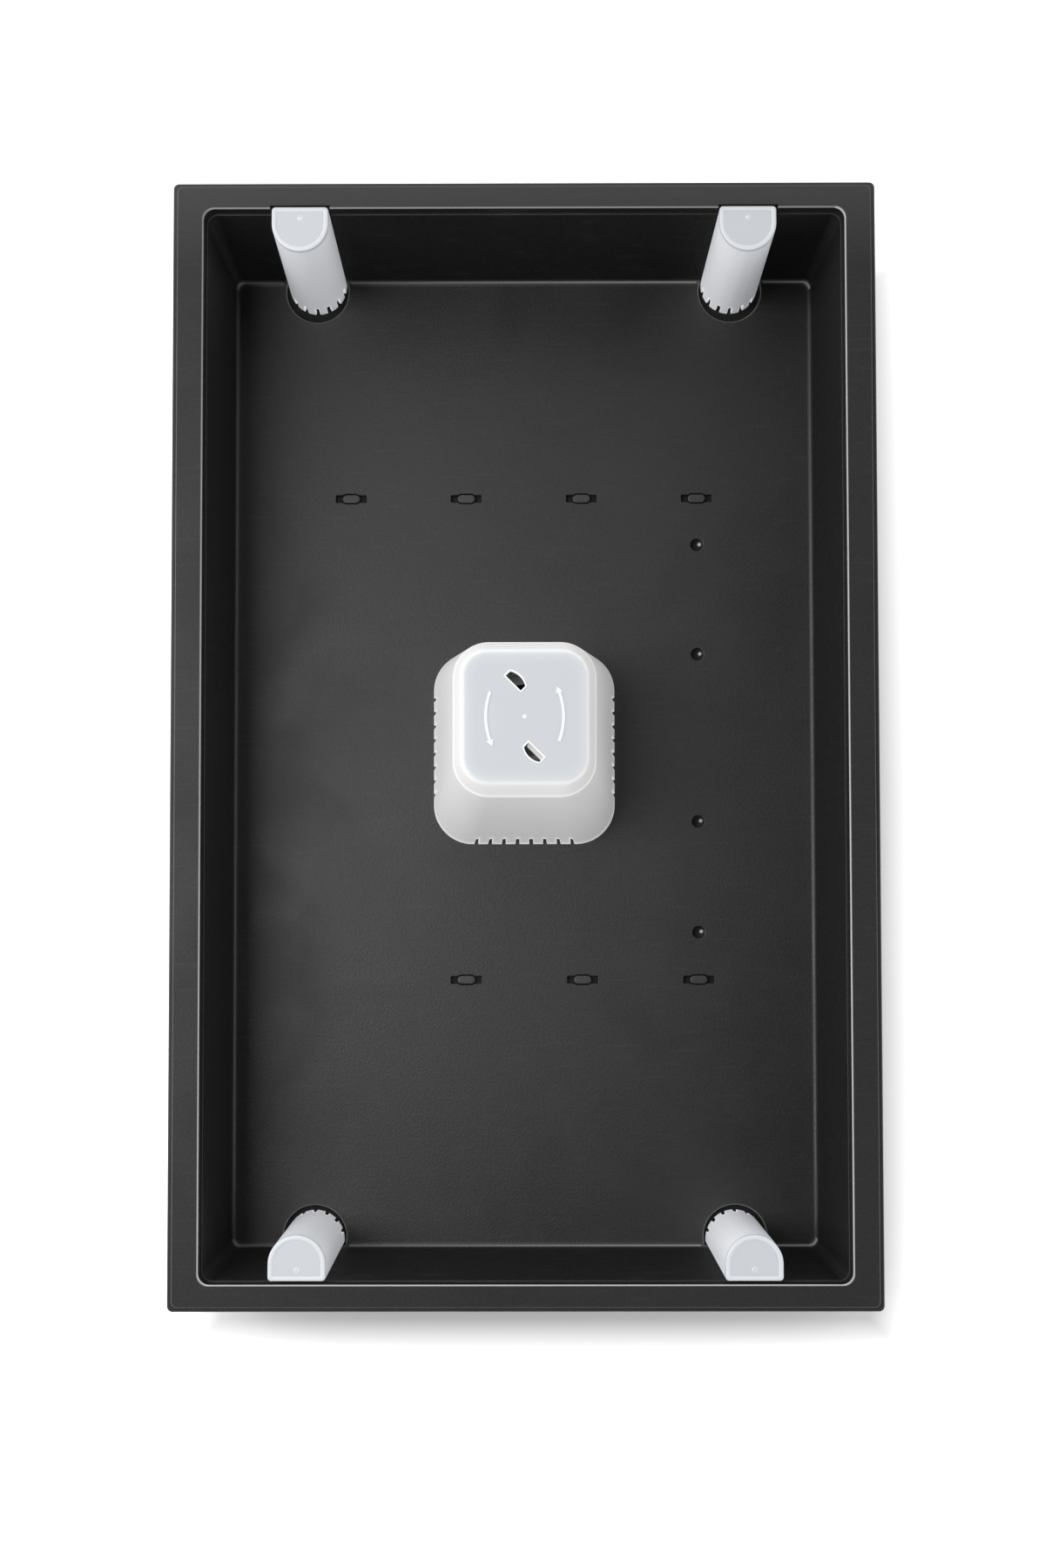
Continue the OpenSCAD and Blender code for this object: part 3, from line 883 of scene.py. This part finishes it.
# The body's colour and its painted glow.
milky_plastic = milky("milky_plastic", body=(0.82, 0.82, 0.815), glow=(0.175, 0.175, 0.177))

# Each section is a half width and half length, a corner radius, a shift of its middle and a height.
cover_foot = (44.0 * mm, 47.0 * mm, 19.0 * mm, -5.5 * mm, floor_z)
shoulder = (32.5 * mm, 35.25 * mm, 16.5 * mm, 0.0, 63.0 * mm)
roof_edge = (28.5 * mm, 29.75 * mm, 11.5 * mm, 0.0, 70.0 * mm)
roof_z = roof_edge[-1]
cover_wall = 1.8 * mm
notch_w = 1.9 * mm
notch_h = 6.0 * mm
notch_pitch = 6.7 * mm
# Painted highlight on the notches' edges.
notch_light = 0.8
side_notches = 8
arch_shares = (-0.75, -0.4, 0.0, 0.4, 0.75)
cover_corner_steps = 16
cover_mid_rise = 25.0 * mm
shoulder_soft = 1.6 * mm
roof_soft = 2.0 * mm
roof_cap_in = 6.0 * mm
roof_cap_r = 7.0 * mm
moon_half = 4.9 * mm
moon_end = 3.0 * mm
moon_bow = 1.5 * mm
moon_wall = 2.2 * mm
moon_reach = 15.9 * mm
collar_w = 0.5 * mm
guard_t = 0.7 * mm
guard_h = 10.2 * mm
guard_bury = 0.2 * mm
guard_lean = 0.8 * mm
moon_turn = 109.0
moon_tilt = 45.0
raised = 0.35 * mm
hair = 0.04 * mm
edge_w = 0.5 * mm
cover_foot_light = 2.6 * mm
foot_row_gap = 0.3 * mm


def notch_columns(middle):
    """Offsets across one round-topped notch, each with its foot's height and its second row's painted
    highlight.
    """
    half = notch_w / 2
    spring = notch_h - half
    columns = [(middle - half - edge_w, 0.0, 0.0), (middle - half - hair, 0.0, notch_light),
               (middle - half, spring, 0.0)]
    for share in arch_shares:
        columns.append((middle + share * half, spring + half * math.sqrt(1 - share * share), 0.0))
    columns += [(middle + half, spring, 0.0), (middle + half + hair, 0.0, notch_light),
                (middle + half + edge_w, 0.0, 0.0)]
    return columns


side_columns = [column for i in range(side_notches)
                for column in notch_columns((i - (side_notches - 1) / 2) * notch_pitch)]


def cover_ring(half_w, half_l, radius, mid, z):
    """Rounded rectangle about a middle, with the notches' columns along its sides."""
    spans = ((half_w - radius) / (cover_foot[0] - cover_foot[2]),
             (half_l - radius) / (cover_foot[1] - cover_foot[2]))
    plain = [(x, mid + y, z) for x, y, z in rect_ring(half_w, half_l, radius, z, cover_corner_steps)]
    count = cover_corner_steps + 1
    ring = []
    for quarter in range(4):
        ring += plain[quarter * count:(quarter + 1) * count]
        for offset, *_ in side_columns:
            across, along = offset * spans[0], offset * spans[1]
            ring.append(((-across, mid + half_l, z), (-half_w, mid - along, z),
                         (across, mid - half_l, z), (half_w, mid + along, z))[quarter])
    return ring


def between(low, high, z):
    """The section at a height on the straight line between two others."""
    share = (z - low[-1]) / (high[-1] - low[-1])
    return [a + share * (b - a) for a, b in zip(low, high)]


def hood(name, material, ring, low, high, columns, profile, wall, foot_light, place):
    """A moulding open below: a notched foot, rows up a wall and over a roof, thickened inwards."""
    bm = bmesh.new()
    light = bm.verts.layers.float.new("edge_light")
    rings = [[ring(*between(low, high, low[-1] + rise + up))[i] for i, (rise, _) in enumerate(columns)]
             for up in (0.0, foot_light)]
    rings += rings_of(ring, profile, 6)
    rows = add_skin(bm, place(rings), (False, True))
    # The foot's outline and the notches' edges carry a painted highlight.
    for i, (_, lit) in enumerate(columns):
        rows[0][i][light] = 1.0
        rows[1][i][light] = lit
    piece = to_piece(bm, name)
    piece.data.materials.append(material)
    thick = piece.modifiers.new("wall", "SOLIDIFY")
    thick.thickness = wall
    thick.offset = -1.0
    thick.use_even_offset = True
    settle(piece)
    for vert in piece.data.vertices:
        vert.co.z = max(vert.co.z, low[-1])
    return piece


cover_profile = [
    (*between(cover_foot, shoulder, floor_z + notch_h + cover_foot_light + foot_row_gap), 0),
    (*between(cover_foot, shoulder, floor_z + cover_mid_rise), 0),
    (*shoulder, shoulder_soft),
    (*roof_edge, roof_soft),
    (*inset(roof_edge, roof_cap_in), roof_cap_r, 0.0, roof_z, 0),
]
cover_columns = [(0.0, 0.0)] * (cover_corner_steps + 1) + [(rise, lit) for _, rise, lit in side_columns]
cover = hood("centre_cover_hood", milky_plastic, cover_ring, cover_foot, shoulder, cover_columns * 4,
             cover_profile, cover_wall, cover_foot_light, lambda rings: moved(rings, 0, chimney_y))


def at_moon(points, half):
    """Points of a moon's own plan set off the cover's axis and tilted."""
    tilt, turn = math.radians(moon_tilt), math.radians(moon_turn)
    return [(half * (moon_reach * math.cos(turn) + x * math.cos(tilt) - y * math.sin(tilt)),
             chimney_y + half * (moon_reach * math.sin(turn) + x * math.sin(tilt) + y * math.cos(tilt)))
            for x, y in points]


def moon_arc(grow):
    """The bowed side of a moon, moved outwards by a distance."""
    bow = (moon_half ** 2 + moon_bow ** 2) / 2 / moon_bow
    widest = math.asin(moon_half / bow)
    return [(moon_end + moon_bow - bow + (bow + grow) * math.cos(widest * (step / 10 - 1)),
             (bow + grow) * math.sin(widest * (step / 10 - 1))) for step in range(21)]


def prism(outline, low, high):
    """Rings of a flat outline raised between two heights."""
    return [[(x, y, z) for x, y in outline] for z in (low, high)]


for grow, low, high, operation in ((collar_w, moon_wall, -raised, "UNION"),
                                   (0.0, moon_wall + tool_rise, -tool_rise, "DIFFERENCE")):
    reach = moon_half + grow
    outline = [(-grow, -reach), (moon_end, -reach)] + moon_arc(grow) + [(moon_end, reach), (-grow, reach)]
    moons = [prism(at_moon(outline, half), roof_z - low, roof_z - high) for half in (1, -1)]
    carve(cover, solid("moons", *moons), operation)
guards = []
for half in (1, -1):
    rings = []
    for lean, low in ((guard_lean, guard_h), (-skim, guard_bury)):
        outline = [(lean - guard_t, -moon_half), (lean, -moon_half),
                   (lean, moon_half), (lean - guard_t, moon_half)]
        rings.append([(x, y, roof_z - low) for x, y in at_moon(outline, half)])
    guards.append(rings)
carve(cover, solid("moon_guards", *guards), "UNION")


# Centre cover, hooks and roof marks
# Two hooks hang from the roof through the chimney's throat, each with a barb that catches the flange.
# On the roof two raised arrows, which carry a painted highlight, show the way to turn it, either side of
# the nub of the mould's gate.
arrow_x = 17.5 * mm
arrow_w = 1.3 * mm
arrow_bow = 32.0 * mm
arrow_tail = 20.5
arrow_neck = -20.0
arrow_tip = -25.0
arrow_barb = 0.8
arrow_head_w = 1.35 * arrow_w
arrow_from = 0.6 * arrow_x
arrow_steps = 12
mark_bury = 0.3 * mm
gate_r = 0.9 * mm
gate_rise = 0.15 * mm
gate_steps = 20
nub_soft = 0.1 * mm
# Strengths and reaches of the painted highlights at the shoulder, the roof's edge and the raised marks.
shoulder_light = 0.85
shoulder_reach = 1.3 * mm
roof_light = 0.25
roof_reach = 2.8 * mm
marks_light = 0.55
marks_from = 0.2 * mm
wide_cover_face = 900 * mm * mm
stem_r = throat_r - hook_gap
barb_top = chimney_top - flange_t - hook_gap
barb_h = 2.5 * mm
barb_z = barb_top - barb_h
barb_r = chimney_r - chimney_wall - 2 * hook_gap


def arrow_point(turn, out):
    """A place along the left arrow's bow, off its middle line by a distance."""
    bow = arrow_bow + out
    return (arrow_bow - arrow_x - bow * math.cos(math.radians(turn)), bow * math.sin(math.radians(turn)))


def nub_rings(radius, z, rise):
    """Rings of the low nub that the mould's gate leaves on a roof."""
    shape = [(radius, z - mark_bury, 0), (radius - nub_soft, z + rise, nub_soft), (radius / 3, z + rise, 0)]
    return rings_of(lambda across, up: round_ring(across, up, gate_steps), shape)


bow = [arrow_tail + (arrow_neck - arrow_tail) * step / arrow_steps for step in range(arrow_steps + 1)]
arrow = [arrow_point(turn, arrow_w / 2) for turn in bow]
arrow += [arrow_point(arrow_neck + arrow_barb, arrow_head_w), arrow_point(arrow_tip, 0.0),
          arrow_point(arrow_neck + arrow_barb, -arrow_head_w)]
arrow += [arrow_point(turn, -arrow_w / 2) for turn in reversed(bow)]
stem_top = roof_z - cover_wall / 2
outline = [(stem_r - hook_t, barb_z), (barb_r, barb_z), (barb_r, barb_top), (stem_r, barb_top),
           (stem_r, stem_top), (stem_r - hook_t, stem_top)]
details = []
for half, turn in ((1, 0.0), (-1, 180.0)):
    details.append(sector(outline, turn + hook_turn - hook_arc / 2, turn + hook_turn + hook_arc / 2))
    details.append(prism([(half * x, half * y) for x, y in arrow], roof_z - mark_bury, roof_z + raised))
details.append(nub_rings(gate_r, roof_z, gate_rise))
detail_tool = solid("cover_details", *details)
detail_tool.data.transform(to_chimney)
carve(cover, detail_tool, "UNION")


def cover_light(co):
    """How much painted highlight a place carries: at the shoulder, the roof's edge and the raised marks."""
    place = (co.x, co.y - chimney_y)
    at_shoulder = near(rect_distance(place, *shoulder[:3]), co.z - shoulder[-1], shoulder_reach)
    at_roof = near(rect_distance(place, *roof_edge[:3]), co.z - roof_z, roof_reach)
    on_mark = marks_light if co.z > roof_z + marks_from else 0.0
    return max(shoulder_light * at_shoulder, roof_light * at_roof, on_mark)


def on_arrow(co):
    """Whether a place lies on one of the raised arrows."""
    return co.z > roof_z + marks_from and abs(co.x) > arrow_from


paint_edges(cover, cover_light, wide_cover_face, on_arrow)
smooth(cover)
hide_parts("centre_cover")
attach(cover, "centre_cover")


# Corner covers
# Four loose milky covers with a round front and a flat back, which stand over the corner chimneys
# against the end walls. They lift straight out. Each roof has a raised border, which carries a painted
# highlight, and the nub of its gate.
foot_back = 2.7 * mm


def corner_back(z):
    """How far behind the chimney's axis a cover's flat back stands, at a height."""
    return foot_back + (z - floor_z) * end_lean


# The body's colour and its painted glow.
milky_blue = milky("milky_blue", body=(0.832, 0.843, 0.86), glow=(0.186, 0.19, 0.202))
corner_roof_z = 71.5 * mm
corner_wall = 1.4 * mm
corner_foot_light = 1.2 * mm
corner_mid_z = 40.0 * mm
corner_foot_r = 14.0 * mm
corner_roof_r = 12.85 * mm
back_edge_r = 1.6 * mm
back_points = 10
notch_spread = 24.0
notch_clear = 7.0
border_w = 1.6 * mm
border_slope = 0.6 * mm
border_soft = 0.3 * mm
# Painted highlight on the roof's border.
border_light = 0.2
border_band = 0.15 * mm
border_turn = 1.4 * mm
panel_drop = 0.4 * mm
nub_r = 1.2 * mm
nub_rise = 0.12 * mm
nub_set = 2.5 * mm
corner_foot = (corner_foot_r, corner_back(sump_z), back_edge_r, sump_z)
corner_roof = (corner_roof_r, corner_back(corner_roof_z), back_edge_r, corner_roof_z)
notch_turns = [notch_spread * i for i in range(-3, 4)]
front_columns = [(float(turn), 0.0, 0.0) for turn in range(-90, 91, 6)
                 if all(abs(turn - middle) > notch_clear for middle in notch_turns)]
for middle in notch_turns:
    for offset, rise, lit in notch_columns(0.0):
        front_columns.append((middle + math.degrees(math.asin(offset / corner_foot[0])), rise, lit))
front_columns.sort()
corner_fronts = [turn for turn, *_ in front_columns]
corner_columns = [(0.0, 0.0)] * back_points + [(rise, lit) for _, rise, lit in front_columns]


def hood_ring(radius, back, edge, z):
    """The chimney's kind of outline, with the notches' columns along its round front."""
    return d_ring(radius, back, edge, z, corner_fronts)


panel_z = corner_roof_z - panel_drop
corner_profile = [
    (*between(corner_foot, corner_roof, sump_z + notch_h + corner_foot_light + foot_row_gap), 0),
    (*between(corner_foot, corner_roof, corner_mid_z), 0),
    (*corner_roof, 1.0 * mm),
    (*inset(corner_roof, border_w), 0.8 * mm, corner_roof_z, border_soft),
    (*inset(corner_roof, border_w + border_slope), 0.6 * mm, panel_z, border_soft),
    (6 * mm, 1.5 * mm, 0.4 * mm, panel_z, 0),
]


def corner_light(co):
    """The roof's border carries a painted highlight, down to the turn of its outer edge."""
    if co.z <= panel_z + border_band:
        return 0.0
    return min(border_light, max(0.0, (co.z - corner_roof_z + border_turn) / mm))


for name, (side, end) in corners.items():
    y = stand_y(end)
    piece = hood("corner_hood_" + name, milky_blue, hood_ring, corner_foot, corner_roof, corner_columns,
                 corner_profile, corner_wall, corner_foot_light,
                 lambda rings: moved(rings, side * corner_x, y, end))
    nub = moved(nub_rings(nub_r, panel_z, nub_rise), side * corner_x, y + nub_set, end)
    carve(piece, solid("nub", nub), "UNION")
    paint_edges(piece, corner_light, wide_cover_face)
    smooth(piece)
    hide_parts("corner_cover_" + name)
    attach(piece, "corner_cover_" + name)


# Stage
# A white table top under a soft key lamp at the left, a weak fill lamp at the front right and a sky
# that is dark overhead, with the camera almost straight above. The table shows white to the camera; the
# tray's shadow shows only inside a painted shadow, a mask round the tray's outline moved to the lower
# right that fades out over a short distance and towards the rear.
table_drop = 0.5 * mm
# The painted shadow: the white lift is held low near the tray's outline moved by a shift, rises over a
# fade, rises further towards the rear, and stays off under the tray.
shadow_shift = (10 * mm, -20 * mm)
shadow_fade = 22 * mm
shadow_lift = 0.05
open_lift = 0.75
rear_lift = 0.13
rear_lift_start = -20 * mm
rear_lift_end = 200 * mm
outline_soft = 1 * mm
bpy.ops.mesh.primitive_plane_add(size=8.0, location=(0, 0, -table_drop))
table = bpy.context.object
table.name = "table"
white = bpy.data.materials.new("table_white")
white.use_nodes = True
nodes, links = white.node_tree.nodes, white.node_tree.links
paper = nodes["Principled BSDF"]
paper.inputs["Base Color"].default_value = (0.8, 0.8, 0.8, 1.0)
paper.inputs["Roughness"].default_value = 0.9
place = nodes.new("ShaderNodeTexCoord")
rays = nodes.new("ShaderNodeLightPath")
glow = nodes.new("ShaderNodeEmission")
total = nodes.new("ShaderNodeAddShader")


def combine(operation, first, second):
    """One value socket from two, in the table's material."""
    node = nodes.new("ShaderNodeMath")
    node.operation = operation
    links.new(first, node.inputs[0])
    links.new(second, node.inputs[1])
    return node.outputs["Value"]


def vector_step(operation, vector, by=(0.0, 0.0, 0.0)):
    """A vector socket after one operation with a written vector, in the table's material."""
    node = nodes.new("ShaderNodeVectorMath")
    node.operation = operation
    node.inputs[1].default_value = by
    links.new(vector, node.inputs[0])
    return node.outputs["Vector"]


def outside_tray(x, y):
    """Distance outside the tray's outline, moved by a shift across the table."""
    away = vector_step("SUBTRACT", place.outputs["Object"], (x, y, 0.0))
    away = vector_step("SUBTRACT", vector_step("ABSOLUTE", away), (tray_w / 2, tray_l / 2, 0.0))
    split = nodes.new("ShaderNodeSeparateXYZ")
    links.new(away, split.inputs["Vector"])
    return combine("MAXIMUM", split.outputs["X"], split.outputs["Y"])


# Painted shadow: the white lift, held back near the moved outline.
lift = map_value(white, outside_tray(*shadow_shift), shadow_lift, open_lift, 0.0, shadow_fade)
to_rear = map_value(white, place_along(white, "Y"), 0.0, rear_lift, rear_lift_start, rear_lift_end)
beside = map_value(white, outside_tray(0.0, 0.0), 0.0, 1.0, -outline_soft, 0.0)
lift = combine("MULTIPLY", combine("ADD", lift, to_rear), beside)
shown = combine("ADD", rays.outputs["Is Camera Ray"], rays.outputs["Is Glossy Ray"])
shown = combine("ADD", shown, rays.outputs["Is Transmission Ray"])
links.new(combine("MULTIPLY", lift, shown), glow.inputs["Strength"])
links.new(paper.outputs["BSDF"], total.inputs[0])
links.new(glow.outputs["Emission"], total.inputs[1])
links.new(total.outputs["Shader"], nodes["Material Output"].inputs["Surface"])
table.data.materials.append(white)

scene = bpy.context.scene
scene.view_settings.view_transform = "Standard"
world = bpy.data.worlds.new("studio")
scene.world = world
world.use_nodes = True
nodes, links = world.node_tree.nodes, world.node_tree.links
sky = nodes.new("ShaderNodeTexCoord")
level = nodes.new("ShaderNodeMath")


def sky_band(axis, start, end, low, high, slot):
    """Adds a band of the sky that runs smoothly between two strengths, along an axis."""
    along = nodes.new("ShaderNodeVectorMath")
    along.operation = "DOT_PRODUCT"
    along.inputs[1].default_value = axis
    links.new(sky.outputs["Generated"], along.inputs[0])
    fade = map_value(world, along.outputs["Value"], low, high, start, end)
    fade.node.interpolation_type = "SMOOTHSTEP"
    links.new(fade, level.inputs[slot])


sky_band(axis=(0.087, -0.329, 0.94), start=0.463, end=0.851, low=1.0, high=0.02, slot=0)
sky_band(axis=(0.0, 0.0, 1.0), start=0.12, end=0.42, low=0.4, high=0.0, slot=1)
links.new(level.outputs["Value"], nodes["Background"].inputs["Strength"])
nodes["Background"].inputs["Color"].default_value = (1.0, 1.0, 1.0, 1.0)


def softbox(name, place, size, strength):
    """A rectangular lamp that faces the tray, as bright all over as its strength."""
    lamp = bpy.data.lights.new(name, "AREA")
    lamp.shape = "RECTANGLE"
    lamp.size, lamp.size_y = size
    lamp.energy = strength * math.pi * lamp.size * lamp.size_y
    box = bpy.data.objects.new(name, lamp)
    box.location = place
    box.rotation_euler = (-box.location).to_track_quat("-Z", "Y").to_euler()
    scene.collection.objects.link(box)


softbox("key", place=(-0.67, 0.05, 0.887), size=(0.5, 0.9), strength=6.0)
softbox("fill", place=(0.75, -0.55, 0.5), size=(0.6, 0.6), strength=1.8)

camera = bpy.data.objects.new("camera", bpy.data.cameras.new("camera"))
camera.location = (-2.5 * mm, -102.1 * mm, 725.8 * mm)
camera.rotation_euler = (0.0317, 0.0027, -0.0013)
camera.data.sensor_width = 36.0
camera.data.lens = 33.716
camera.data.shift_x = 0.0045
camera.data.shift_y = 0.0880
scene.collection.objects.link(camera)
scene.camera = camera
